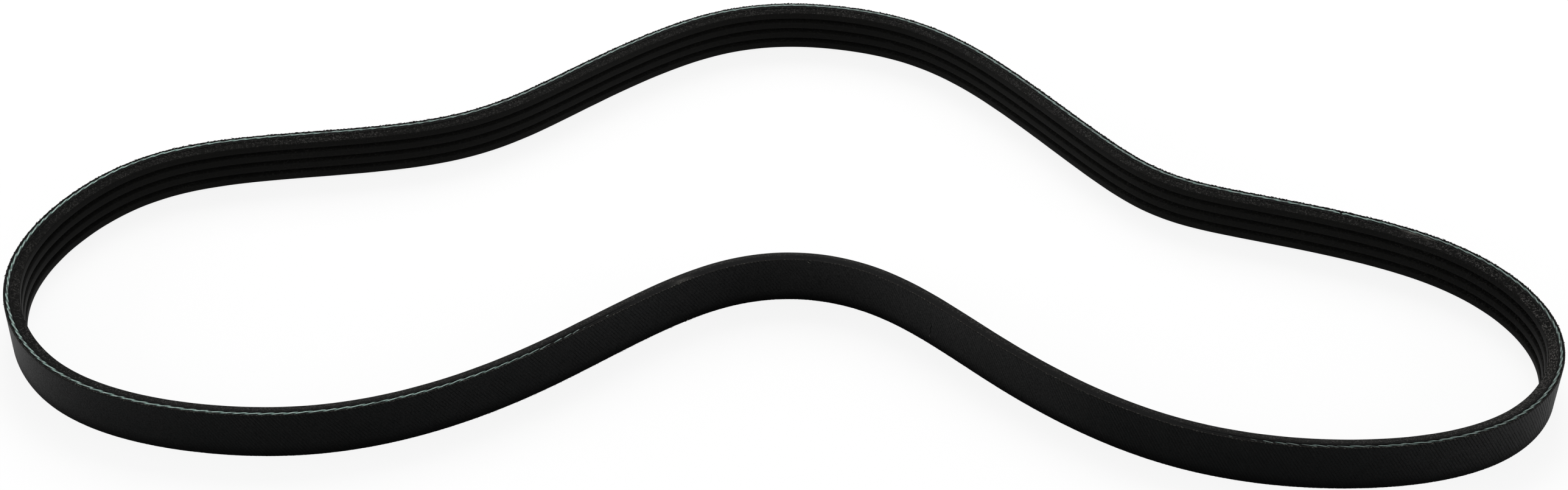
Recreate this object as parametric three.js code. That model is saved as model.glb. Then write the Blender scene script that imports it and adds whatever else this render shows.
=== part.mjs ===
// Serpentine belt (multi-rib drive belt) lying free on its edge as a closed loop.
// Millimetres, +Z up. The origin is the centre of the loop's box, on the surface that the belt stands on.
// The section is drawn as [depth, height]: depth from the smooth back towards the ribs, height above the lower edge.

import * as THREE from 'three';
import { mergeVertices } from 'three/addons/utils/BufferGeometryUtils.js';

// Length of the belt round its back
const outsideLength = 1045;

// Rib profile
const ribCount = 4;
const ribPitch = 3.56;
const ribHeight = 2.0;
const grooveAngle = 40;
const grooveFloor = 0.2;
const tipRadius = 0.5;
const tipArcSteps = 2;

// Plies of the belt, from the back inwards
const plyThickness = 0.4;
const cordCover = 0.1;
const cordDiameter = 0.85;
const cushionThickness = 0.95;

// Strand of the tension cord that shows on the cut upper edge
const cordSunk = 0.5;
const cordCrown = 0.15;
const crownSteps = 4;
const cordFrom = 0.11;
const cordTo = 0.92;

// Plan of the loop as it lies, anticlockwise from the dip in the front run.
// These are the control points of a closed cubic B-spline, and outsideLength sets their scale.
const lay = [
  [26, -24], [56, -59], [97, -90], [147, -97], [194, -86],
  [215, -48], [190, -5], [120, 12], [100, 22], [57, 85],
  [22, 101], [-22, 102], [-67, 62], [-95, 35], [-157, 29],
  [-193, 16], [-218, -31], [-195, -79], [-143, -92], [-102, -87],
  [-61, -64], [-16, -20],
];
const stationsPerPoint = 6;

// Sizes that follow from the ones above
const beltWidth = ribCount * ribPitch;
const cordNear = plyThickness + cordCover;
const cordFar = cordNear + cordDiameter;
const ribRoot = cordFar + cushionThickness;
const beltThickness = ribRoot + ribHeight;
const flankAngle = THREE.MathUtils.degToRad(grooveAngle / 2);
const tipWidth = ribPitch - grooveFloor - 2 * ribHeight * Math.tan(flankAngle);
const stationCount = lay.length * stationsPerPoint;

// Closed uniform cubic B-spline through the plane: each span blends four neighbouring control points.
class LayCurve extends THREE.Curve {
  constructor(points) {
    super();
    this.points = points;
    this.arcLengthDivisions = 50 * points.length;
  }

  blend(t, weights) {
    const count = this.points.length;
    const span = Math.floor(t * count);
    const sum = new THREE.Vector2();
    weights(t * count - span).forEach((weight, k) => {
      const [x, y] = this.points[(span + k - 1 + count) % count];
      sum.x += weight * x;
      sum.y += weight * y;
    });
    return sum;
  }

  getPoint(t, target = new THREE.Vector2()) {
    return target.copy(this.blend(t, (u) => [
      (1 - u) ** 3 / 6,
      (3 * u ** 3 - 6 * u ** 2 + 4) / 6,
      (-3 * u ** 3 + 3 * u ** 2 + 3 * u + 1) / 6,
      u ** 3 / 6,
    ]));
  }

  getTangent(t, target = new THREE.Vector2()) {
    return target.copy(this.blend(t, (u) => [
      -((1 - u) ** 2) / 2,
      (3 * u ** 2 - 4 * u) / 2,
      (-3 * u ** 2 + 2 * u + 1) / 2,
      u ** 2 / 2,
    ])).normalize();
  }
}

// Stations round the back of the belt: a point, and the direction from the back towards the ribs.
function layStations() {
  const curve = new LayCurve(lay);
  const scale = outsideLength / curve.getLength();
  const stations = [];
  for (let i = 0; i < stationCount; i++) {
    const point = curve.getPoint(i / stationCount).multiplyScalar(scale);
    const tangent = curve.getTangent(i / stationCount);
    stations.push({ point, inward: new THREE.Vector2(-tangent.y, tangent.x) });
  }
  const centre = new THREE.Box2().setFromPoints(stations.map((s) => s.point)).getCenter(new THREE.Vector2());
  stations.forEach((s) => s.point.sub(centre));
  return stations;
}

// Stands a section up at a station.
function placeSection(section, { point, inward }) {
  return section.map(([depth, height]) => new THREE.Vector3(
    point.x + inward.x * depth,
    point.y + inward.y * depth,
    height,
  ));
}

// Joins rings of equal point count into one closed skin. An open run of rings gets a flat cap at each end.
// Points that coincide are merged, and the triangles that this leaves without area are dropped.
function skin(rings, isLoop) {
  const size = rings[0].length;
  const triangles = [];
  const spans = isLoop ? rings.length : rings.length - 1;
  for (let i = 0; i < spans; i++) {
    const here = i * size;
    const next = ((i + 1) % rings.length) * size;
    for (let k = 0; k < size; k++) {
      const up = (k + 1) % size;
      triangles.push([here + k, here + up, next + k], [here + up, next + up, next + k]);
    }
  }
  if (!isLoop) {
    const last = (rings.length - 1) * size;
    for (let k = 1; k < size - 1; k++) {
      triangles.push([0, k + 1, k], [last, last + k, last + k + 1]);
    }
  }
  const loose = new THREE.BufferGeometry();
  loose.setAttribute('position', new THREE.Float32BufferAttribute(
    rings.flat().flatMap((p) => p.toArray()), 3));
  loose.setIndex(triangles.flat());
  const merged = mergeVertices(loose);
  const kept = [];
  for (let i = 0; i < merged.index.count; i += 3) {
    const [a, b, c] = [0, 1, 2].map((k) => merged.index.getX(i + k));
    if (a !== b && b !== c && c !== a) kept.push(a, b, c);
  }
  merged.setIndex(kept);
  merged.computeVertexNormals();
  return merged;
}

// One rib from its lower groove to its upper one: two straight flanks and a tip with rounded corners.
function ribProfile(centre) {
  const cornerTurn = Math.PI / 2 - flankAngle;
  const arcHeight = tipWidth / 2 - tipRadius * Math.tan(cornerTurn / 2);
  const rootHalf = (ribPitch - grooveFloor) / 2;
  const arc = (side) => {
    const points = [];
    for (let k = 0; k <= tipArcSteps; k++) {
      const angle = cornerTurn * (1 - k / tipArcSteps);
      points.push([
        beltThickness - tipRadius * (1 - Math.cos(angle)),
        centre + side * (arcHeight + tipRadius * Math.sin(angle)),
      ]);
    }
    return points;
  };
  return [
    [ribRoot, centre - rootHalf],
    ...arc(-1),
    ...arc(1).reverse(),
    [ribRoot, centre + rootHalf],
  ];
}

// Body: cut edges below and above, ribs between them, and a seat for the cord sunk into the upper edge.
function bodySection(seatDepth) {
  const ribs = [];
  for (let k = 0; k < ribCount; k++) {
    ribs.push(...ribProfile((k + 0.5) * ribPitch));
  }
  return [
    [plyThickness, 0],
    [ribRoot, 0],
    ...ribs,
    [ribRoot, beltWidth],
    [cordFar, beltWidth],
    [cordFar, beltWidth - seatDepth],
    [cordNear, beltWidth - seatDepth],
    [cordNear, beltWidth],
    [plyThickness, beltWidth],
  ];
}

// Stations where the strand comes up through the cut edge and where it goes back in.
function cordRange() {
  return [Math.round(cordFrom * stationCount), Math.round(cordTo * stationCount)];
}

// Rubber body. The stations at the strand's two ends carry both sections, which gives the seat its end walls.
function buildBody(stations) {
  const plain = bodySection(0);
  const seated = bodySection(cordSunk);
  const [first, last] = cordRange();
  const rings = [];
  stations.forEach((station, i) => {
    if (i <= first || i > last) rings.push(placeSection(plain, station));
    if (i >= first && i <= last) rings.push(placeSection(seated, station));
    if (i === last) rings.push(placeSection(plain, station));
  });
  return skin(rings, true);
}

// Fabric ply bonded over the whole back.
function buildPly(stations) {
  const section = [[0, 0], [plyThickness, 0], [plyThickness, beltWidth], [0, beltWidth]];
  return skin(stations.map((station) => placeSection(section, station)), true);
}

// Strand in its seat: square below the cut edge, crowned above it.
function buildCord(stations) {
  const middle = (cordNear + cordFar) / 2;
  const crown = [];
  for (let k = 0; k <= crownSteps; k++) {
    const angle = Math.PI * k / crownSteps;
    crown.push([
      middle + cordDiameter / 2 * Math.cos(angle),
      beltWidth + cordCrown * Math.sin(angle),
    ]);
  }
  const section = [[cordNear, beltWidth - cordSunk], [cordFar, beltWidth - cordSunk], ...crown];
  const [first, last] = cordRange();
  return skin(stations.slice(first, last + 1).map((station) => placeSection(section, station)), false);
}

function namedMesh(name, geometry, color, roughness) {
  const material = new THREE.MeshStandardMaterial({ color, roughness, metalness: 0 });
  const mesh = new THREE.Mesh(geometry, material);
  mesh.name = name;
  return mesh;
}

const stations = layStations();
const belt = new THREE.Group();
belt.add(namedMesh('ribbed_body', buildBody(stations), 0x1c1d1f, 0.75));
belt.add(namedMesh('backing_ply', buildPly(stations), 0x202122, 0.85));
belt.add(namedMesh('edge_cord', buildCord(stations), 0x8c9c95, 0.7));

export default belt;
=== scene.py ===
from math import cos, pi, radians, sin, sqrt, tan

import bpy
import numpy as np
from mathutils import Matrix, Vector


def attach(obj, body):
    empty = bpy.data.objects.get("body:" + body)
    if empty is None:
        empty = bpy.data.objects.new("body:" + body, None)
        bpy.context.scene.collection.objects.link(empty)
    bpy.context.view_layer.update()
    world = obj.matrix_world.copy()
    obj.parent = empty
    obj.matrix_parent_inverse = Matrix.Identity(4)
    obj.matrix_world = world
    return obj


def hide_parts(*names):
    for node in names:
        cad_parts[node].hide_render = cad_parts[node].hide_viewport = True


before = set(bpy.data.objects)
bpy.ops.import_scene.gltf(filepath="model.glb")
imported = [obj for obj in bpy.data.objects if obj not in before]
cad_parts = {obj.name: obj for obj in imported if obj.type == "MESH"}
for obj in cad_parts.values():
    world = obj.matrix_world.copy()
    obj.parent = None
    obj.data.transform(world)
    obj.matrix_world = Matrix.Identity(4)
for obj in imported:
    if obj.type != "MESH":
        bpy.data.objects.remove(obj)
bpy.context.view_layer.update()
scene = bpy.context.scene

# Sizes of the belt in millimetres, the same as in the solids but for the rounding of the rib tips
MM = 0.001
BELT_LENGTH = 1045.0
RIBS = 4
PITCH = 3.56
RIB_HEIGHT = 2.0
FLANK_ANGLE = radians(20)
GROOVE_FLOOR = 0.2
TIP_RADIUS = 0.28
PLY = 0.4
RIB_ROOT = 2.3
WIDTH = RIBS * PITCH
THICKNESS = RIB_ROOT + RIB_HEIGHT

# Plan of the loop as it lies, anticlockwise from the dip in the front run: control points of a closed
# B-spline. The solids have SOLID_STATIONS outlines along it, and their box is centred on the origin.
LAY = np.array([
    (26, -24), (56, -59), (97, -90), (147, -97), (194, -86), (215, -48),
    (190, -5), (120, 12), (100, 22), (57, 85), (22, 101), (-22, 102),
    (-67, 62), (-95, 35), (-157, 29), (-193, 16), (-218, -31), (-195, -79),
    (-143, -92), (-102, -87), (-61, -64), (-16, -20),
], float)
SOLID_STATIONS = 132

# The twill: how many yarns lie side by side round the belt, the slope at which they cross it, and the least
# and the greatest depth of the grooves between them
YARNS = 1045
YARN_SLOPE = tan(radians(57))
GROOVE_DEPTHS = (0.015, 0.075)

# The cord: three strands laid up round each other, and how far along the belt one turn of them reaches
STRAND_RADIUS = 0.21
LAY_RADIUS = 0.23
LAY_REACH = 9.93
# Distance between the outlines that a strand is drawn with, and the points of each
STRAND_STEP = 0.42
STRAND_POINTS = 12
# How proud the knife left it on the near runs, and how much prouder on the far one
SHAVED = 0.04
SHAVED_LESS = 0.06
# Distances from the dip where it comes up, where its first length is cut off, and where it goes back under
CORD_FROM = 96
CORD_CUT = 304.6
CORD_TO = 974
# Gap at the cut, how far the ends of each length dive under the edge, and over what length they do
CORD_GAP = 0.3
DIVE = 0.35
DIVE_REACH = 1.2
# Depth of its seat's middle from the back
SEAT_MIDDLE = 0.88

# Tables: a row of distances round the belt from the dip, then the value at each, joined by straight lines.
# FAR is 1 on the far run, 0 on the near ones, and between them round the two ends of the loop.
FAR = ((190, 250, 760, 830), (0, 1, 1, 0))
# Height of the cord's middle above the cut edge
RISE = (
    (95, 104, 112, 118, 126, 165, 200, 240, 290, 303.5, 306,
     430, 490, 560, 600, 800, 850, 905, 938, 952, 966, 975),
    (-0.60, -0.53, -0.49, -0.45, -0.40, -0.32, -0.24, -0.18, -0.18, -0.24, -0.10,
     -0.10, -0.03, -0.05, -0.12, -0.14, -0.22, -0.28, -0.36, -0.43, -0.49, -0.58))
# How clean the cord is, from 0 for dip and rubber to 1 for bare white fibre
CLEAN = (
    (100, 125, 150, 200, 285, 300, 330, 380, 470,
     520, 650, 680, 705, 760, 800, 905, 930, 950, 970),
    (0, 0.05, 0.12, 0.22, 0.32, 0.6, 0.45, 0.36, 0.40,
     0.55, 0.42, 0.65, 0.95, 0.7, 0.6, 0.75, 0.5, 0.2, 0))
# How much fibre the knife tore out of the rubber's upper edge
FRAY = (
    (0, 130, 190, 205, 262, 300, 330, 355, 395, 500,
     570, 640, 650, 658, 670, 720, 770, 800, 850, 960, 1045),
    (0.45, 0.45, 0.9, 1, 0.7, 0.5, 0.4, 0.5, 0.5, 0.45,
     0.3, 0.4, 0.6, 0.6, 0.4, 0.3, 0.35, 0.5, 0.5, 0.5, 0.45))
# How much painted shade darkens the rubber from its fibrous layer inwards, at each distance round the belt
PAINTED_SHADE = (
    (0, 30, 100, 130, 185, 215, 250, 285, 700, 740, 800, 830, 870, 1000, 1045),
    (0.15, 0.35, 0.35, 0.1, 0.15, 0.5, 0.4, 0.15, 0.15, 0.4, 0.5, 0.4, 0.2, 0.05, 0.15))
# How open the grooves of the twill are, which also sets how dark their pits are painted with shade
GROOVES = (
    (0, 60, 100, 150, 180, 250, 700, 760, 845, 870, 900, 1000, 1045),
    (0.5, 0.55, 0.75, 0.9, 1.5, 1.5, 0.5, 0.02, 0.05, 0.7, 1.15, 1.1, 0.55))
# Painted light and shade on the twill's face: how much lighter it is drawn at each distance round the belt
TWILL_PAINTED_LIGHT = (
    (0, 55, 90, 150, 190, 800, 830, 960, 1000, 1045),
    (1.15, 1.0, 0.3, 0.3, 0.8, 1.0, 0.4, 0.5, 0.8, 1.15))

# Scuffs on the rubber: strength, distance round the belt, spread along it
SCUFFS = ((0.9, 215, 9), (0.35, 195, 14), (0.15, 341, 9), (0.15, 655, 5))
# Dusty spots on the rubber's upper edge: the same three, then depth from the back and spread across
DUST = ((0.9, 279.5, 1.6, 1.7, 0.55), (1, 284.5, 2.2, 1.7, 0.55), (0.4, 991, 2.5, 0.9, 0.8))


def lay_spline(t):
    """Point and slope of the closed cubic B-spline: each span blends four neighbouring control points."""
    count = len(LAY)
    span = np.floor(t * count).astype(int)
    u = t * count - span
    place = np.stack([
        (1 - u) ** 3, 3 * u ** 3 - 6 * u ** 2 + 4, -3 * u ** 3 + 3 * u ** 2 + 3 * u + 1, u ** 3]) / 6
    slope = np.stack([-(1 - u) ** 2, 3 * u ** 2 - 4 * u, -3 * u ** 2 + 2 * u + 1, u ** 2]) / 2
    near = LAY[(span + np.arange(-1, 3)[:, None]) % count]
    return np.einsum("kn,knc->nc", place, near), np.einsum("kn,knc->nc", slope, near)


def belt_line(steps=22000):
    """The back of the belt measured off by length: the spline scaled to the belt's length and centred."""
    points, slopes = lay_spline(np.arange(steps + 1) / steps)
    reach = np.append(0, np.cumsum(np.hypot(*np.diff(points, axis=0).T)))
    scale = BELT_LENGTH / reach[-1]
    stations = lay_spline(np.arange(SOLID_STATIONS) / SOLID_STATIONS)[0] * scale
    centre = (stations.min(0) + stations.max(0)) / 2
    return reach * scale, points * scale - centre, slopes / np.hypot(*slopes.T)[:, None]


LINE_REACH, LINE_POINTS, LINE_SLOPES = belt_line()


def on_belt(reach, depth, height):
    """Place in metres: the back's point at a reach, moved square to it by the depth, and the height."""
    reach, depth, height = np.broadcast_arrays(reach, depth, height)
    turn = np.mod(reach, BELT_LENGTH)
    columns = (*LINE_POINTS.T, *LINE_SLOPES.T)
    x, y, along_x, along_y = (np.interp(turn, LINE_REACH, column) for column in columns)
    return np.stack([x - along_y * depth, y + along_x * depth, height], -1) * MM


def wander(reach, shortest, longest, seed, waves=36):
    """Unevenness, mostly -1 to 1: a sum of sines that each fit a whole number of times round the belt."""
    pick = np.random.default_rng(seed)
    turns = pick.integers(int(BELT_LENGTH / longest), int(BELT_LENGTH / shortest) + 1, waves)
    start = pick.uniform(0, 2 * pi, waves)
    return np.sin(2 * pi * np.multiply.outer(reach / BELT_LENGTH, turns) + start).sum(-1) / sqrt(waves)


def hump(reach, middle, spread):
    """Bell curve of height 1 at the middle: e to the power of minus the squared distance in spreads."""
    return np.exp(-((reach - middle) / spread) ** 2)


def listed(reach, table):
    """Value of a table at a distance round the belt, on the straight line between the nearest two it lists."""
    return np.interp(np.mod(reach, BELT_LENGTH), *table)


def cord_depth(reach):
    """Depth of the cord's middle: that of its seat, and more on the far run, since the belt was slit askew."""
    return SEAT_MIDDLE + 0.22 * listed(reach, FAR) - 0.08 * hump(reach, 490, 50)


def cord_rise(reach):
    """Height of the cord's middle over the cut edge: the table, more on the far run, and some unevenness."""
    return listed(reach, RISE) + 0.05 * listed(reach, FAR) + 0.025 * wander(reach, 4, 30, 7)


def chart_of(along, across):
    """Map of a grid of points: one distance goes with the outline, the other with the point on it."""
    return np.stack(np.meshgrid(along, across, indexing="ij"), -1)


def grid_surface(name, points, material, nodes=(), loop=False, chart=None, values=None, crease=35):
    """Mesh of a grid of points, stations by points of a closed outline, every outline joined to the next.

    A loop joins the last outline to the first, and any other run of outlines is closed by a flat end at each
    side. The chart is the surface rolled out flat in millimetres, with the first row and column repeated at
    the far sides, and the values are kept at the points for the material to read.
    """
    rows, columns = points.shape[:2]
    spans = rows if loop else rows - 1
    row, column = np.meshgrid(np.arange(spans), np.arange(columns), indexing="ij")
    corner_row = np.stack([row, row, row + 1, row + 1], -1).reshape(-1, 4)
    corner_column = np.stack([column, column + 1, column + 1, column], -1).reshape(-1, 4)
    quads = (corner_row % rows) * columns + corner_column % columns
    ends = [] if loop else [np.arange(columns)[::-1], (rows - 1) * columns + np.arange(columns)]
    mesh = bpy.data.meshes.new(name)
    mesh.from_pydata(points.reshape(-1, 3).tolist(), [], quads.tolist() + [end.tolist() for end in ends])
    if chart is not None:
        flat = chart[corner_row, corner_column].reshape(-1, 2)
        flat = np.concatenate([flat, np.zeros((len(mesh.loops) - len(flat), 2))])
        mesh.uv_layers.new(name="belt_map").data.foreach_set("uv", (flat * MM).ravel())
    for label, value in (values or {}).items():
        layer = mesh.attributes.new(label, "FLOAT", "POINT")
        layer.data.foreach_set("value", np.broadcast_to(value, (rows, columns)).ravel())
    return finish_piece(name, mesh, material, nodes, crease)


def short_tubes(name, points, tone, material):
    """Many small closed tubes in one mesh: each is a stack of rings with a face across either end."""
    count, rings, size = points.shape[:3]
    first = (np.arange(count) * rings * size)[:, None, None, None]
    ring = (np.arange(rings - 1) * size)[None, :, None, None]
    step = np.arange(size)[None, None, :, None]
    after = (step + 1) % size
    quads = first + ring + np.concatenate([step, after, after + size, step + size], -1)
    lower = first[:, 0, 0] + np.arange(size)[::-1]
    upper = first[:, 0, 0] + (rings - 1) * size + np.arange(size)
    faces = quads.reshape(-1, 4).tolist() + lower.tolist() + upper.tolist()
    mesh = bpy.data.meshes.new(name)
    mesh.from_pydata(points.reshape(-1, 3).tolist(), [], faces)
    layer = mesh.attributes.new("tone", "FLOAT", "POINT")
    layer.data.foreach_set("value", np.repeat(tone, rings * size))
    return finish_piece(name, mesh, material, crease=80)


def finish_piece(name, mesh, material, nodes=(), crease=35):
    """Puts a mesh into the scene as a piece of the belt, smooth but where it bends more than the crease."""
    mesh.polygons.foreach_set("use_smooth", np.ones(len(mesh.polygons), bool))
    mesh.set_sharp_from_angle(angle=radians(crease))
    mesh.materials.append(material)
    mesh.update()
    piece = bpy.data.objects.new(name, mesh)
    scene.collection.objects.link(piece)
    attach(piece, "root")
    if nodes:
        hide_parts(*nodes)
    return piece


def linear(code):
    """Linear colour of an sRGB hex code."""
    values = [int(code[k:k + 2], 16) / 255 for k in (1, 3, 5)]
    return (*(v / 12.92 if v <= 0.04045 else ((v + 0.055) / 1.055) ** 2.4 for v in values), 1.0)


def add(tree, kind, inputs=(), **settings):
    """Adds a node: settings are its attributes, and an input takes a value or a link from an output."""
    made = tree.nodes.new(kind)
    for label, value in settings.items():
        setattr(made, label, value)
    for label, value in dict(inputs).items():
        if isinstance(value, bpy.types.NodeSocket):
            tree.links.new(value, made.inputs[label])
        else:
            made.inputs[label].default_value = value
    return made


def new_material(name):
    """An empty material: its tree, and the shader and output that every finish ends in."""
    material = bpy.data.materials.new(name)
    material.use_nodes = True
    tree = material.node_tree
    tree.nodes.clear()
    shader = add(tree, "ShaderNodeBsdfPrincipled")
    add(tree, "ShaderNodeOutputMaterial", {"Surface": shader.outputs["BSDF"]})
    return material, tree, shader


# Patterns in the finishes: a scale is written as how many fit in a millimetre, so 2.5 / MM draws spots 0.4 mm
# across, and a bump's distance and a height up the belt are written in millimetres too.


def ground_rubber():
    """EPDM rubber filled with short fibres, ribs ground and edges cut with a knife.

    The eye sees a dull near-black with pale specks of cut fibre on the edge and the flanks, and hardly any on
    the rib tips, which running has polished. The layer next to the cord has no fibre and stays plain.
    """
    material, tree, shader = new_material("epdm_short_fibre_ground")
    place = add(tree, "ShaderNodeTexCoord").outputs["Object"]
    lay = add(tree, "ShaderNodeUVMap", uv_map="belt_map").outputs["UV"]
    depth, scuff, dust, fray, shade = (
        add(tree, "ShaderNodeAttribute", attribute_name=label).outputs["Fac"]
        for label in ("depth_mm", "scuff", "dust", "fray", "shade"))

    # Short fibres that stick out of the ground rubber: curls some 0.4 mm long, drawn thicker than they are so
    # that they show
    specks = add(tree, "ShaderNodeTexNoise", {
        "Vector": place, "Scale": 2.3 / MM, "Detail": 1.0, "Roughness": 0.5})
    offset = add(tree, "ShaderNodeMath", {0: specks.outputs["Fac"], 1: 0.5}, operation="SUBTRACT")
    across = add(tree, "ShaderNodeMath", {0: offset.outputs["Value"]}, operation="ABSOLUTE")
    curl = add(tree, "ShaderNodeMapRange", {
        "Value": across.outputs["Value"], "From Min": 0.02, "From Max": 0.055, "To Min": 1.0, "To Max": 0.0},
        interpolation_type="SMOOTHSTEP")
    breaks = add(tree, "ShaderNodeTexNoise", {"Vector": place, "Scale": 1.5 / MM, "Detail": 1.0})
    broken = add(tree, "ShaderNodeMapRange", {
        "Value": breaks.outputs["Fac"], "From Min": 0.46, "From Max": 0.56}, interpolation_type="SMOOTHSTEP")
    speck = add(tree, "ShaderNodeMath", {
        0: curl.outputs["Result"], 1: broken.outputs["Result"]}, operation="MULTIPLY")
    # Fibres that the knife dragged along the edge, about 1 mm long
    drag = add(tree, "ShaderNodeMapping", {
        "Vector": lay, "Rotation": (0, 0, radians(28)), "Scale": (1.1 / MM, 5.2 / MM, 1)})
    drags = add(tree, "ShaderNodeTexNoise", {"Vector": drag.outputs["Vector"], "Scale": 1.0, "Detail": 2.0})
    streak = add(tree, "ShaderNodeMapRange", {
        "Value": drags.outputs["Fac"], "From Min": 0.50, "From Max": 0.68}, interpolation_type="SMOOTHSTEP")
    # Where fibre shows: from the cord's gum layer outwards, and up to the polished tips
    past_gum = add(tree, "ShaderNodeMapRange", {
        "Value": depth, "From Min": 1.5, "From Max": 2.3}, interpolation_type="SMOOTHSTEP")
    off_tip = add(tree, "ShaderNodeMapRange", {
        "Value": depth, "From Min": 4.05, "From Max": 4.22, "To Min": 1.0, "To Max": 0.25},
        interpolation_type="SMOOTHSTEP")
    # The knife tore fibre out of the upper cut edge, the grinding wheel out of the ribs far less
    upward = add(tree, "ShaderNodeSeparateXYZ", {"Vector": place})
    knifed = add(tree, "ShaderNodeMapRange", {
        "Value": upward.outputs["Z"], "From Min": 13.0 * MM, "From Max": 13.5 * MM, "To Min": 0.25},
        interpolation_type="SMOOTHSTEP")
    fibre_layer = add(tree, "ShaderNodeMath", {
        0: past_gum.outputs["Result"], 1: off_tip.outputs["Result"]}, operation="MULTIPLY")
    fibrous = add(tree, "ShaderNodeMath", {
        0: fibre_layer.outputs["Value"], 1: knifed.outputs["Result"]}, operation="MULTIPLY")
    # Broad patches, some 12 mm long, where the cut tore more fibre out
    patches = add(tree, "ShaderNodeTexNoise", {"Vector": place, "Scale": 0.085 / MM, "Detail": 2.0})
    torn = add(tree, "ShaderNodeMapRange", {
        "Value": patches.outputs["Fac"], "From Min": 0.40, "From Max": 0.65, "To Min": 0.6, "To Max": 1.0})
    loose = add(tree, "ShaderNodeMath", {0: torn.outputs["Result"], 1: fray}, operation="MULTIPLY")
    amount = add(tree, "ShaderNodeMath", {
        0: loose.outputs["Value"], 1: scuff}, operation="ADD", use_clamp=True)
    share = add(tree, "ShaderNodeMapRange", {"Value": fibrous.outputs["Value"], "To Min": 0.04})
    shown = add(tree, "ShaderNodeMath", {
        0: amount.outputs["Value"], 1: share.outputs["Result"]}, operation="MULTIPLY")
    pattern = add(tree, "ShaderNodeMix", {
        0: scuff, 2: speck.outputs["Value"], 3: streak.outputs["Result"]}, data_type="FLOAT")
    fibre = add(tree, "ShaderNodeMath", {
        0: pattern.outputs[0], 1: shown.outputs["Value"]}, operation="MULTIPLY")

    plain = add(tree, "ShaderNodeMix", {
        0: past_gum.outputs["Result"], 6: linear("#0b0b0b"), 7: linear("#131312")}, data_type="RGBA")
    # Painted shade: the rubber is drawn darker, towards near black, by the shade attribute, which also dulls
    # it
    shade_painted = add(tree, "ShaderNodeMix", {
        0: shade, 6: plain.outputs[2], 7: linear("#030303")}, data_type="RGBA")
    flecked = add(tree, "ShaderNodeMix", {
        0: fibre.outputs["Value"], 6: shade_painted.outputs[2], 7: linear("#5d5b59")}, data_type="RGBA")
    # Pale dust in spots, broken up by the specks
    powder = add(tree, "ShaderNodeMath", {0: dust, 1: specks.outputs["Fac"]}, operation="MULTIPLY")
    dusted = add(tree, "ShaderNodeMix", {
        0: powder.outputs["Value"], 6: flecked.outputs[2], 7: linear("#6d6b66")}, data_type="RGBA")
    tree.links.new(dusted.outputs[2], shader.inputs["Base Color"])

    # The polished tips are smoother than the cut and ground faces, and the painted shade takes the gloss away
    dullness = add(tree, "ShaderNodeMapRange", {
        "Value": off_tip.outputs["Result"], "To Min": 0.5, "To Max": 0.66})
    tree.links.new(dullness.outputs["Result"], shader.inputs["Roughness"])
    relief = add(tree, "ShaderNodeMath", {
        0: speck.outputs["Value"], 1: shown.outputs["Value"]}, operation="MULTIPLY")
    bump = add(tree, "ShaderNodeBump", {
        "Height": relief.outputs["Value"], "Strength": 0.5, "Distance": 0.12 * MM})
    tree.links.new(bump.outputs["Normal"], shader.inputs["Normal"])
    gloss = add(tree, "ShaderNodeMapRange", {"Value": shade, "To Min": 0.035, "To Max": 0.004})
    tree.links.new(gloss.outputs["Result"], shader.inputs["Specular IOR Level"])
    return material


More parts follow.
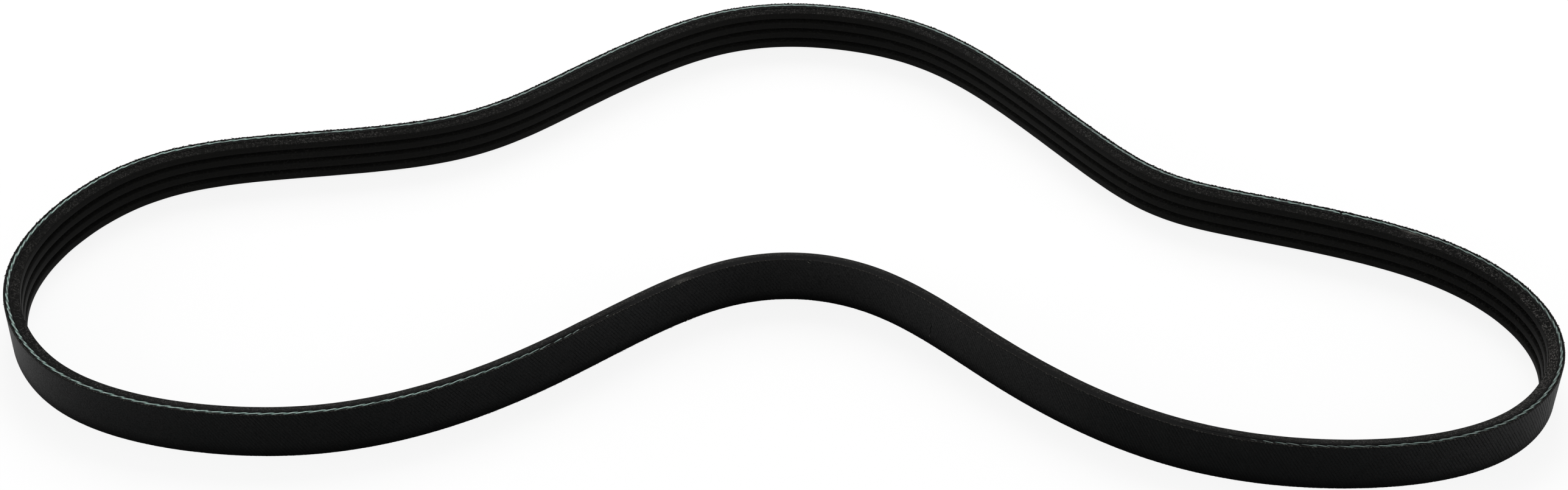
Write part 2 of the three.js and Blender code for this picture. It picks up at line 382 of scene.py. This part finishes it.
def rubbered_twill():
    """Cotton and nylon twill, rubbered by calender and worn smooth on the pulleys.

    The eye sees a flat black skin with fine slanting grooves between the yarns, 1 mm apart along the belt.
    Each groove is a row of small pits between the other yarns that cross it.
    """
    material, tree, shader = new_material("rubbered_twill_calendered")
    place = add(tree, "ShaderNodeTexCoord").outputs["Object"]
    lay = add(tree, "ShaderNodeUVMap", uv_map="belt_map").outputs["UV"]
    lines, painted_light = (
        add(tree, "ShaderNodeAttribute", attribute_name=label).outputs["Fac"]
        for label in ("lines", "painted_light"))

    # Count of the yarns: whole numbers are the grooves between them
    count = YARNS / BELT_LENGTH / MM
    slant = add(tree, "ShaderNodeVectorMath", {
        0: lay, 1: (count, count / YARN_SLOPE, 0)}, operation="DOT_PRODUCT").outputs["Value"]
    beside = add(tree, "ShaderNodeMath", {0: slant, 1: 0.5}, operation="PINGPONG")
    ridge = add(tree, "ShaderNodeMapRange", {
        "Value": beside.outputs["Value"], "From Min": 0.04, "From Max": 0.17},
        interpolation_type="SMOOTHSTEP")
    # Yarns that cross under, 0.55 mm apart up the belt, each row of them 0.38 of a step on from the last
    row = add(tree, "ShaderNodeMath", {0: slant}, operation="ROUND")
    step = add(tree, "ShaderNodeMath", {0: row.outputs["Value"], 1: 0.38}, operation="MULTIPLY")
    up = add(tree, "ShaderNodeVectorMath", {0: lay, 1: (0, 1 / 0.55 / MM, 0)}, operation="DOT_PRODUCT")
    phase = add(tree, "ShaderNodeMath", {0: up.outputs["Value"], 1: step.outputs["Value"]}, operation="ADD")
    between = add(tree, "ShaderNodeMath", {0: phase.outputs["Value"], 1: 0.5}, operation="PINGPONG")
    crossing = add(tree, "ShaderNodeMapRange", {
        "Value": between.outputs["Value"], "From Min": 0.08, "From Max": 0.42, "To Max": 0.9},
        interpolation_type="SMOOTHSTEP")
    yarn = add(tree, "ShaderNodeMath", {
        0: ridge.outputs["Result"], 1: crossing.outputs["Result"]}, operation="MAXIMUM")
    # Rubber skin: uneven in spots about 0.4 mm across, and worn in patches some 30 mm long
    spots = add(tree, "ShaderNodeTexNoise", {
        "Vector": place, "Scale": 2.5 / MM, "Detail": 2.0, "Roughness": 0.6})
    spot = add(tree, "ShaderNodeMapRange", {
        "Value": spots.outputs["Fac"], "From Min": 0.3, "From Max": 0.7, "To Min": 0.2})
    wear = add(tree, "ShaderNodeTexNoise", {"Vector": place, "Scale": 0.032 / MM, "Detail": 3.0})
    worn = add(tree, "ShaderNodeMapRange", {
        "Value": wear.outputs["Fac"], "From Min": 0.35, "From Max": 0.65, "To Min": 0.75, "To Max": 1.15})

    even = add(tree, "ShaderNodeMath", {
        0: spot.outputs["Result"], 1: worn.outputs["Result"]}, operation="MULTIPLY")
    # Painted light and shade: the face is drawn lighter or darker along the belt, on top of the spots and
    # patches
    tone = add(tree, "ShaderNodeMath", {0: even.outputs["Value"], 1: painted_light}, operation="MULTIPLY")
    polished = add(tree, "ShaderNodeMix", {
        0: tone.outputs["Value"], 6: linear("#0e0f0f"), 7: linear("#242424")}, data_type="RGBA")
    # Painted shade: the lowest 4.5 mm is drawn darker and darker towards the lower edge, down to near black
    height = add(tree, "ShaderNodeSeparateXYZ", {"Vector": lay}).outputs["Y"]
    low_edge_shade = add(tree, "ShaderNodeMapRange", {
        "Value": height, "From Min": 0.0, "From Max": 4.5 * MM}, interpolation_type="SMOOTHSTEP")
    face = add(tree, "ShaderNodeMix", {
        0: low_edge_shade.outputs["Result"], 6: linear("#080808"), 7: polished.outputs[2]}, data_type="RGBA")
    # Painted shade in the pits between the yarns, drawn near black: filled with rubber in places 4 mm across,
    # and as strong as the grooves table sets along the belt
    filling = add(tree, "ShaderNodeTexNoise", {"Vector": place, "Scale": 0.26 / MM, "Detail": 2.0})
    filled = add(tree, "ShaderNodeMapRange", {
        "Value": filling.outputs["Fac"], "From Min": 0.38, "From Max": 0.62, "To Min": 0.35})
    pit = add(tree, "ShaderNodeMath", {0: 1.0, 1: yarn.outputs["Value"]}, operation="SUBTRACT")
    open_pit = add(tree, "ShaderNodeMath", {
        0: pit.outputs["Value"], 1: filled.outputs["Result"]}, operation="MULTIPLY")
    fading = add(tree, "ShaderNodeMapRange", {"Value": low_edge_shade.outputs["Result"], "To Min": 0.3})
    seen = add(tree, "ShaderNodeMath", {0: fading.outputs["Result"], 1: lines}, operation="MULTIPLY")
    pit_shade = add(tree, "ShaderNodeMath", {
        0: open_pit.outputs["Value"], 1: seen.outputs["Value"]}, operation="MULTIPLY")
    # Painted shade: the pits go towards near black; the grooves in the mesh are real
    lined = add(tree, "ShaderNodeMix", {
        0: pit_shade.outputs["Value"], 6: face.outputs[2], 7: linear("#060606")}, data_type="RGBA")
    # The ply's own cut edge, up on the corner, is greyer
    cut_edge = add(tree, "ShaderNodeMapRange", {
        "Value": height, "From Min": 14.15 * MM, "From Max": 14.22 * MM})
    cornered = add(tree, "ShaderNodeMix", {
        0: cut_edge.outputs["Result"], 6: lined.outputs[2], 7: linear("#191817")}, data_type="RGBA")
    tree.links.new(cornered.outputs[2], shader.inputs["Base Color"])
    # Gloss: more on the skin's smooth spots, none in the pits, and less towards the lower edge
    smooth = add(tree, "ShaderNodeMapRange", {
        "Value": spot.outputs["Result"], "To Min": 0.004, "To Max": 0.028})
    shine = add(tree, "ShaderNodeMapRange", {
        "Value": pit_shade.outputs["Value"], "To Min": smooth.outputs["Result"], "To Max": 0.0})
    rubbed = add(tree, "ShaderNodeMapRange", {"Value": height, "From Max": 13 * MM, "To Min": 0.15})
    gloss = add(tree, "ShaderNodeMath", {
        0: shine.outputs["Result"], 1: rubbed.outputs["Result"]}, operation="MULTIPLY")
    tree.links.new(gloss.outputs["Value"], shader.inputs["Specular IOR Level"])

    weave = add(tree, "ShaderNodeMath", {
        0: spot.outputs["Result"], 1: pit_shade.outputs["Value"]}, operation="SUBTRACT")
    bump = add(tree, "ShaderNodeBump", {
        "Height": weave.outputs["Value"], "Strength": 0.5, "Distance": 0.05 * MM})
    tree.links.new(bump.outputs["Normal"], shader.inputs["Normal"])
    shader.inputs["Roughness"].default_value = 0.45
    shader.inputs["Sheen Weight"].default_value = 0.06
    shader.inputs["Sheen Roughness"].default_value = 0.35
    return material


def dipped_cord():
    """Polyester cord, twisted from filaments and dipped in a greenish bonding agent before it was laid in.

    The eye sees pale strands with fine lines along them, white where the knife shaved the dip off, green-grey
    at their sides, and black rubber in the hollows. Some stretches kept more of the dip than others.
    """
    material, tree, shader = new_material("polyester_cord_dipped")
    place = add(tree, "ShaderNodeTexCoord").outputs["Object"]
    lay = add(tree, "ShaderNodeUVMap", uv_map="belt_map").outputs["UV"]
    top, clean = (
        add(tree, "ShaderNodeAttribute", attribute_name=label).outputs["Fac"] for label in ("top", "clean"))

    # Filaments that run with the strand, drawn as bundles about 0.12 mm thick since single ones don't show
    stretch = add(tree, "ShaderNodeMapping", {
        "Vector": lay, "Rotation": (0, 0, radians(4)), "Scale": (0.7 / MM, 9 / MM, 1)})
    threads = add(tree, "ShaderNodeTexNoise", {
        "Vector": stretch.outputs["Vector"], "Scale": 1.0, "Detail": 2.0})
    thread = add(tree, "ShaderNodeMapRange", {
        "Value": threads.outputs["Fac"], "From Min": 0.36, "From Max": 0.62}, interpolation_type="SMOOTHSTEP")
    shaved = add(tree, "ShaderNodeMath", {0: thread.outputs["Result"], 1: top}, operation="MULTIPLY")
    # Rubber left on the cord, in smears some 2 mm long
    smears = add(tree, "ShaderNodeTexNoise", {"Vector": place, "Scale": 0.42 / MM, "Detail": 3.0})
    smear = add(tree, "ShaderNodeMapRange", {
        "Value": smears.outputs["Fac"], "From Min": 0.50, "From Max": 0.66, "To Max": 0.8},
        interpolation_type="SMOOTHSTEP")

    # Dip on the strands' sides, then the shaved tops, from the dullest places to the cleanest
    dip = add(tree, "ShaderNodeMix", {0: clean, 6: linear("#364a45"), 7: linear("#5a8075")}, data_type="RGBA")
    tops = add(tree, "ShaderNodeMix", {
        0: clean, 6: linear("#666b69"), 7: linear("#bac9c4")}, data_type="RGBA")
    bright = add(tree, "ShaderNodeMix", {
        0: shaved.outputs["Value"], 6: dip.outputs[2], 7: tops.outputs[2]}, data_type="RGBA")
    soiled = add(tree, "ShaderNodeMix", {
        0: smear.outputs["Result"], 6: bright.outputs[2], 7: linear("#2c302e")}, data_type="RGBA")
    hollow = add(tree, "ShaderNodeMapRange", {"Value": top, "From Min": 0.1, "From Max": 0.6})
    filled = add(tree, "ShaderNodeMix", {
        0: hollow.outputs["Result"], 6: linear("#0c0d0d"), 7: soiled.outputs[2]}, data_type="RGBA")
    tree.links.new(filled.outputs[2], shader.inputs["Base Color"])
    bump = add(tree, "ShaderNodeBump", {
        "Height": threads.outputs["Fac"], "Strength": 0.5, "Distance": 0.06 * MM})
    tree.links.new(bump.outputs["Normal"], shader.inputs["Normal"])
    shader.inputs["Roughness"].default_value = 0.6
    shader.inputs["Specular IOR Level"].default_value = 0.2
    return material


def cut_yarn():
    """Cotton yarn of the twill, cut with the belt's edge: grey fibre, black where the rubber soaked in."""
    material, tree, shader = new_material("cotton_yarn_cut")
    # The tone, black to grey, also carries painted shade: on the far run's yarn ends and in the nick
    tone = add(tree, "ShaderNodeAttribute", attribute_name="tone").outputs["Fac"]
    colour = add(tree, "ShaderNodeMix", {
        0: tone, 6: linear("#070707"), 7: linear("#77756f")}, data_type="RGBA")
    tree.links.new(colour.outputs[2], shader.inputs["Base Color"])
    shader.inputs["Roughness"].default_value = 0.85
    shader.inputs["Specular IOR Level"].default_value = 0.02
    return material


def rib_outline():
    """Outline of one rib, [depth, height from its middle], from groove to groove.

    Straight flanks at 20 degrees, a tip with rounded corners, and a small round at the foot of each flank.
    """
    root = (PITCH - GROOVE_FLOOR) / 2
    turn = pi / 2 - FLANK_ANGLE
    flat = root - RIB_HEIGHT * tan(FLANK_ANGLE) - TIP_RADIUS * tan(turn / 2)
    corner = turn * (1 - np.arange(4) / 3)
    tip = np.stack([THICKNESS - TIP_RADIUS * (1 - np.cos(corner)), flat + TIP_RADIUS * np.sin(corner)], -1)
    foot = np.array([(RIB_ROOT, root + 0.05), (RIB_ROOT + 0.09, root - 0.055)])
    flank = (foot[-1] + tip[0])[None] / 2
    upper = np.concatenate([tip[::-1], flank, foot[::-1]])
    return np.concatenate([upper[::-1] * (1, -1), [(THICKNESS, 0)], upper])


# The rubber's upper cut edge, [depth, height over it], with the cord's seat drawn at its deepest
EDGE = np.array([
    (2.27, 0), (2.0, 0), (1.7, 0), (1.38, 0), (1.32, -0.25), (1.14, -0.13),
    (SEAT_MIDDLE, -0.11), (0.62, -0.13), (0.44, -0.25), (PLY, 0),
])


def body_outline():
    """Outline of the rubber, [depth, height], anticlockwise from the lower back corner, the cut edge last."""
    # The two outer ribs lose their end points to the plain margins
    ribs = [rib_outline() + (0, (k + 0.5) * PITCH) for k in range(RIBS)]
    ribs[0] = ribs[0][1:]
    ribs[-1] = ribs[-1][:-1]
    lower = [(PLY, 0), (RIB_ROOT, 0), (RIB_ROOT, 0.1)]
    upper = [(RIB_ROOT, WIDTH - 0.1)]
    return np.concatenate([lower, *ribs, upper, EDGE + (0, WIDTH)])


def rubber_marks(reach, depth):
    """What the rubber's finish reads at each point: depth, scuffs, dust, torn fibre and painted shade.

    Scuffs and dust are sums of bell curves. The painted shade lies from the fibrous layer inwards,
    with a band of it in the gum beside the cord on the far run.
    in the gum beside the cord on the far run.
    """
    scuff = sum(strength * hump(reach, middle, spread) for strength, middle, spread in SCUFFS)
    dust = sum(
        strength * hump(reach, middle, spread)[:, None] * hump(depth, inward, width)
        for strength, middle, spread, inward, width in DUST)
    fray = listed(reach, FRAY)
    # Painted shade: from the fibrous layer inwards, and in a band beside the cord on the far run
    shade_paint = listed(reach, PAINTED_SHADE)[:, None] * (depth > 2.1)
    shade_paint += 0.45 * listed(reach, FAR)[:, None] * hump(depth, 1.75, 0.5)
    return {"depth_mm": depth, "scuff": scuff[:, None], "dust": dust, "fray": fray[:, None], "shade": shade_paint}


def rubber_body(material):
    """Ribbed rubber: the outline carried round the belt, its cut edge uneven and its ribs slightly so.

    The cord's seat moves across with the cord, and opens only as far as the cord stands proud.
    """
    outline = body_outline()
    stations = 1240
    reach = BELT_LENGTH * np.arange(stations) / stations
    depth = np.repeat(outline[None, :, 0], stations, 0)
    height = np.repeat(outline[None, :, 1], stations, 0)
    bare = (reach > CORD_FROM) & (reach < CORD_TO)
    opened = np.clip((cord_rise(reach) + 0.62) / 0.3, 0, 1) * bare
    edge = height[:, -len(EDGE):] - WIDTH
    height[:, -len(EDGE):] = WIDTH + edge * opened[:, None]
    rough = np.stack([wander(reach, 2.5, 40, 20 + k) for k in range(8)], -1)
    inner_edge = slice(1 - len(EDGE), -1)
    seat = slice(2 - len(EDGE), -1)
    rib_faces = slice(3, -2 - len(EDGE))
    height[:, inner_edge] += 0.014 * rough
    shift = (cord_depth(reach) - SEAT_MIDDLE)[:, None] * np.array((0.4, 1, 1, 1, 1, 1, 1))
    depth[:, seat] += shift
    depth[:, rib_faces] += 0.012 * wander(reach, 8, 90, 11)[:, None]
    across = np.append(0, np.cumsum(np.hypot(*np.diff(outline, axis=0, append=outline[:1]).T)))
    return grid_surface(
        "ribbed_rubber", on_belt(reach[:, None], depth, height), material, ("ribbed_body",),
        loop=True, chart=chart_of(np.append(reach, BELT_LENGTH), across), values=rubber_marks(reach, depth))


def twill_back(material):
    """Twill ply on the back: a thin closed skin, its face ridged by the yarns and its corners worn round.

    Every outline of the skin leans as the yarns do, four to a yarn: one down in the groove before it, three
    over it. Its height at the upper corner and at the lower one wanders a little.
    """
    outline = np.concatenate([
        [(0.1, 0), (PLY, 0), (PLY, WIDTH), (0.16, WIDTH), (0.05, WIDTH - 0.05), (0, WIDTH - 0.16)],
        np.stack([np.zeros(7), np.linspace(WIDTH - 0.32, 0.32, 7)], -1),
        [(0, 0.16), (0.03, 0.05)],
    ])
    yarn, part = np.divmod(np.arange(4 * YARNS), 4)
    start = BELT_LENGTH / YARNS * (yarn + np.array((0, 0.10, 0.5, 0.90))[part])
    pick = np.random.default_rng(34)
    lines = listed(start, GROOVES)
    groove = (pick.uniform(*GROOVE_DEPTHS, YARNS)[yarn] * lines) * np.array((1, 0.15, 0, 0.15))[part]
    # Points 3 and 4 of the outline are its upper corner, the first and the last its lower one
    depth = np.repeat(outline[None, :, 0], 4 * YARNS, 0)
    height = np.repeat(outline[None, :, 1], 4 * YARNS, 0)
    depth[:, 4:] += groove[:, None]
    depth[:, 4] += 0.02 * np.abs(wander(start, 1.4, 9, 32, 60))
    raised = 0.02 + 0.08 * listed(start, FAR) - groove - 0.02 * np.abs(wander(start, 1.4, 12, 31, 60))
    height[:, 3:5] += raised[:, None]
    height[:, [0, -1]] += (0.5 * groove + 0.03 * np.abs(wander(start, 1.4, 12, 33, 60)))[:, None]
    sway = 0.05 * wander(start, 2, 14, 35)
    points = on_belt((start + sway)[:, None] - outline[:, 1] / YARN_SLOPE, depth, height)
    chart = chart_of(np.append(start, BELT_LENGTH), np.append(outline[:, 1], outline[0, 1]))
    chart[..., 0] -= chart[..., 1] / YARN_SLOPE
    values = {"lines": lines[:, None], "painted_light": listed(start, TWILL_PAINTED_LIGHT)[:, None]}
    return grid_surface(
        "twill_back", points, material, ("backing_ply",),
        loop=True, chart=chart, values=values)


def cord_strand(name, start, end, hand, crest, turn, material, nodes=()):
    """One strand of the cord: a tube that winds round the cord's middle, hand +1 towards the back on top.

    The winding stands on top at the crest, and its two ends dive under the cut edge. What stood above the
    edge is pressed and shaved down: a height there becomes the limit times the hyperbolic tangent of its
    share of the limit.
    """
    reach = np.arange(start, end, STRAND_STEP)
    to_ends = np.stack([reach - start, end - reach])
    dive = DIVE * (np.clip(1 - to_ends / DIVE_REACH, 0, 1) ** 2).sum(0)
    wound = pi / 2 + hand * 2 * pi * (reach - crest) / LAY_REACH + turn + 0.22 * wander(reach, 9, 60, 41)
    middle = cord_depth(reach) + LAY_RADIUS * np.cos(wound) + 0.03 * wander(reach, 6, 40, 43)
    level = WIDTH + cord_rise(reach) - dive + LAY_RADIUS * np.sin(wound)
    around = 2 * pi * np.arange(STRAND_POINTS) / STRAND_POINTS
    far = listed(reach, FAR)
    radius = (STRAND_RADIUS * (1 + 0.12 * far + 0.07 * wander(reach, 3, 20, 45 + int(10 * turn))))[:, None]
    depth = middle[:, None] + radius * np.cos(around)
    proud = level[:, None] + radius * np.sin(around) - WIDTH
    limit = (SHAVED + SHAVED_LESS * far)[:, None]
    height = WIDTH + np.where(proud > 0, limit * np.tanh(proud / limit), proud)
    top = np.clip((np.sin(around) - 0.25) / 0.5, 0, 1) * np.clip((np.sin(wound)[:, None] - 0.1) / 0.6, 0, 1)
    return grid_surface(
        name, on_belt(reach[:, None], depth, height), material, nodes,
        chart=chart_of(reach, STRAND_RADIUS * np.append(around, 2 * pi)),
        values={"top": top, "clean": listed(reach, CLEAN)[:, None]}, crease=80)


def tension_cord(material):
    """Two lengths of cord on the cut edge, laid up opposite ways: one begins where the other is cut."""
    runs = (
        ("cord_a", CORD_FROM, CORD_CUT, 1, 123.3),
        ("cord_b", CORD_CUT + CORD_GAP, CORD_TO, -1, 701.75))
    for name, start, end, hand, crest in runs:
        for k in range(3):
            replaced = ("edge_cord",) if (name, k) == ("cord_b", 0) else ()
            cord_strand(f"{name}_strand_{k}", start, end, hand, crest, 2 * pi * k / 3, material, replaced)


def yarn_ends(material):
    """Cut ends of the twill's yarns along the upper back corner: small flattened beads, one to each yarn.

    A bead is an ellipsoid cut off short of its poles, four rings of six points, turned a little and set at
    its own place. On the far run the beads are bigger and higher, and drawn darker with painted shade.
    """
    pick = np.random.default_rng(51)
    reach = BELT_LENGTH * (np.arange(YARNS) + pick.uniform(0.3, 0.7, YARNS)) / YARNS - WIDTH / YARN_SLOPE
    tilt = np.array([-1.3, -0.5, 0.5, 1.3])[:, None]
    around = (2 * pi * np.arange(6) / 6)[None]
    ball = np.stack(np.broadcast_arrays(
        np.cos(tilt) * np.cos(around), np.cos(tilt) * np.sin(around), np.sin(tilt)), -1)
    spans = ((0.04, 0.08), (0.03, 0.07), (0.14, 0.38))
    size = np.stack([pick.uniform(low, high, YARNS) for low, high in spans], -1)
    near = 1 - listed(reach, FAR)
    body = ball[None] * (size * (1.7 - 0.7 * near)[:, None])[:, None, None]
    lean = pick.uniform(-0.5, 0.5, YARNS)[:, None, None]
    inward = 0.19 + 0.07 * pick.standard_normal(YARNS)[:, None, None]
    depth = inward + body[..., 0] * np.cos(lean) - body[..., 2] * np.sin(lean)
    along = reach[:, None, None] + body[..., 2] * np.cos(lean) + body[..., 0] * np.sin(lean)
    lift = 0.11 - 0.09 * near + 0.03 * pick.standard_normal(YARNS)
    height = WIDTH + lift[:, None, None] + body[..., 1]
    # Painted shade: the beads on the far run are drawn darker; those by the dust spot at 991 mm are paler
    tone = np.clip((0.03 + 0.32 * near) * pick.uniform(0.2, 1.6, YARNS) + 0.5 * hump(reach, 991, 4), 0, 1)
    return short_tubes("yarn_ends", on_belt(along, depth, height), tone, material)


def stray_fibres(material):
    """Loose fibres on the cut edges: thin three-sided tubes that bend away from the corner they start on.

    The first 90 crowd along the frayed lower edge of the near left run, the next 60 stand in tufts on the
    upper edge of the far one, and the rest are scattered, a quarter of them on the lower edge.
    """
    pick = np.random.default_rng(61)
    count, crowded, tufted = 420, 90, 60
    low_ones, tufts = slice(0, crowded), slice(crowded, crowded + tufted)
    reach = pick.uniform(0, BELT_LENGTH, count)
    reach[low_ones] = pick.uniform(925, 1000, crowded)
    reach[tufts] = pick.choice([374, 379, 621, 626, 656], tufted) + pick.uniform(-2, 2, tufted)
    low = pick.random(count) < 0.25
    low[low_ones] = True
    low[tufts] = False
    size = pick.uniform(0.25, 0.8, count)
    step = np.linspace(0, 1, 5)[None]
    sweep = pick.uniform(-1, 1, count)[:, None]
    out = pick.uniform(0.15, 0.9, count)[:, None]
    along = reach[:, None] + size[:, None] * (sweep * step + 0.3 * sweep * step ** 2)
    depth = 0.04 - size[:, None] * out * step * (1 - 0.35 * step)
    rise = size[:, None] * pick.uniform(0.0, 0.4, count)[:, None] * step ** 2
    height = np.where(low[:, None], 0.03 + 0.5 * rise, WIDTH - 0.02 + rise)
    around = (2 * pi * np.arange(3) / 3)[None, None]
    thick = (0.03 * (1 - 0.7 * step))[..., None]
    points = on_belt(
        along[..., None], depth[..., None] + thick * np.cos(around),
        height[..., None] + thick * np.sin(around))
    return short_tubes("stray_fibres", points, pick.uniform(0.4, 1.0, count), material)


def small_wear(material):
    """Marks of use on the back: a zigzag nick with a pale thread at its foot, a fleck, and a burr.

    Each is a flat tube of six sides along a path of [distance round the belt, how far out, height], with its
    half width, its half thickness and how pale it is.
    """
    nick = [(20.2, 0, 7.6), (20.4, 0, 6.7), (20.0, 0, 5.7), (20.2, 0, 4.6), (19.8, 0, 3.4)]
    thread = [
        (19.8, 0.02, 3.3), (19.85, 0.05, 3.05), (19.95, 0.08, 2.85), (20.1, 0.1, 2.7), (20.3, 0.06, 2.65)]
    fleck = [
        (1026.6, 0.03, 13.9), (1026.8, 0.06, 13.75), (1027.0, 0.08, 13.6),
        (1027.2, 0.06, 13.5), (1027.5, 0.02, 13.45)]
    burr = [
        (990.9, 0.02, 0.3), (991.2, 0.15, 0.2), (991.6, 0.25, 0.35), (991.9, 0.2, 0.6), (992.1, 0.05, 0.8)]
    path = np.array([nick, thread, fleck, burr], float)
    wide = np.array((0.12, 0.05, 0.09, 0.09))
    proud = np.array((0.015, 0.05, 0.05, 0.07))
    # The nick is a flat strip drawn black: painted shade for the hollow of the cut
    tone = np.array((0.0, 0.6, 0.8, 0.6))
    around = 2 * pi * np.arange(6) / 6
    taper = np.array([0.3, 1, 1, 1, 0.3])[None, :, None]
    along = path[..., 0, None] + wide[:, None, None] * taper * np.cos(around)
    depth = -path[..., 1, None] + proud[:, None, None] * taper * np.sin(around)
    height = np.repeat(path[..., 2, None], 6, 2)
    return short_tubes("small_wear", on_belt(along, depth, height), tone, material)


def photo_camera():
    """Camera at the photograph's angle: 750 mm from near the loop's middle, 39.5 degrees up, rolled 1."""
    up_angle, roll = radians(39.472), radians(1.049)
    aim, distance = Vector((1.342, -3.064, 0)), 750
    look = Vector((0, cos(up_angle), -sin(up_angle)))
    side = Vector((1, 0, 0))
    upward = side.cross(look)
    right = side * cos(roll) + upward * sin(roll)
    top = upward * cos(roll) - side * sin(roll)
    camera = bpy.data.objects.new("photo_camera", bpy.data.cameras.new("photo_camera"))
    camera.data.sensor_width = 36
    camera.data.lens = 60.74
    turned = Matrix((right, top, -look)).transposed().to_4x4()
    camera.matrix_world = Matrix.Translation((aim - look * distance) * MM) @ turned
    scene.collection.objects.link(camera)
    scene.camera = camera


def seen_directly(tree):
    """1 for rays from the camera, off a glossy face or through a clear one, 0 for those that give light."""
    ray = add(tree, "ShaderNodeLightPath").outputs
    sent_on = add(tree, "ShaderNodeMath", {
        0: ray["Is Glossy Ray"], 1: ray["Is Transmission Ray"]}, operation="MAXIMUM")
    seen = add(tree, "ShaderNodeMath", {
        0: ray["Is Camera Ray"], 1: sent_on.outputs["Value"]}, operation="MAXIMUM")
    return seen.outputs["Value"]


def paper_sweep():
    """Round sheet of white paper under the belt: it looks white, keeps a soft shadow, and lights little."""
    radius, sides, below = 2.2, 64, 0.02 * MM
    around = 2 * pi * np.arange(sides) / sides
    rim = np.stack([radius * np.cos(around), radius * np.sin(around), np.full(sides, -below)], -1)
    mesh = bpy.data.meshes.new("paper_floor")
    mesh.from_pydata(rim.tolist(), [], [list(range(sides))])
    material = bpy.data.materials.new("seamless_paper")
    material.use_nodes = True
    tree = material.node_tree
    tree.nodes.clear()
    matt = add(tree, "ShaderNodeBsdfDiffuse", {"Color": linear("#8c8c8c")})
    white = add(tree, "ShaderNodeBsdfDiffuse", {"Color": linear("#ffffff")})
    glow = add(tree, "ShaderNodeEmission", {"Color": (1, 1, 1, 1), "Strength": 1.0})
    lit = add(tree, "ShaderNodeMixShader", {0: 0.86, 1: white.outputs["BSDF"], 2: glow.outputs["Emission"]})
    mixed = add(tree, "ShaderNodeMixShader", {
        0: seen_directly(tree), 1: matt.outputs["BSDF"], 2: lit.outputs["Shader"]})
    add(tree, "ShaderNodeOutputMaterial", {"Surface": mixed.outputs["Shader"]})
    mesh.materials.append(material)
    floor = bpy.data.objects.new("paper_floor", mesh)
    scene.collection.objects.link(floor)


def white_room():
    """World: a soft dome of light that looks white."""
    world = bpy.data.worlds.new("white_room")
    scene.world = world
    world.use_nodes = True
    tree = world.node_tree
    tree.nodes.clear()
    dome = add(tree, "ShaderNodeBackground", {"Color": (1, 1, 1, 1), "Strength": 0.45})
    white = add(tree, "ShaderNodeBackground", {"Color": (1, 1, 1, 1), "Strength": 1.0})
    mixed = add(tree, "ShaderNodeMixShader", {
        0: seen_directly(tree), 1: dome.outputs["Background"], 2: white.outputs["Background"]})
    add(tree, "ShaderNodeOutputWorld", {"Surface": mixed.outputs["Shader"]})


def soft_lamp(name, place, size, watts):
    """Square soft box aimed at the middle of the belt, its place and size in metres."""
    lamp = bpy.data.lights.new(name, "AREA")
    lamp.size = size
    lamp.energy = watts
    box = bpy.data.objects.new(name, lamp)
    aimed = (-Vector(place)).to_track_quat("-Z", "Y").to_matrix().to_4x4()
    box.matrix_world = Matrix.Translation(place) @ aimed
    scene.collection.objects.link(box)


photo_camera()
scene.view_settings.view_transform = "Standard"
white_room()
paper_sweep()
soft_lamp("lamp_left", (-1.2, -0.2, 0.2), 0.6, 7)
soft_lamp("lamp_right", (1.2, -0.3, 0.2), 0.6, 6)
soft_lamp("lamp_front", (0.2, -1.3, 0.15), 0.8, 2.5)
soft_lamp("lamp_back", (0.0, 0.9, 0.9), 0.8, 12)

rubber_body(ground_rubber())
twill_back(rubbered_twill())
tension_cord(dipped_cord())
yarn = cut_yarn()
yarn_ends(yarn)
stray_fibres(yarn)
small_wear(yarn)
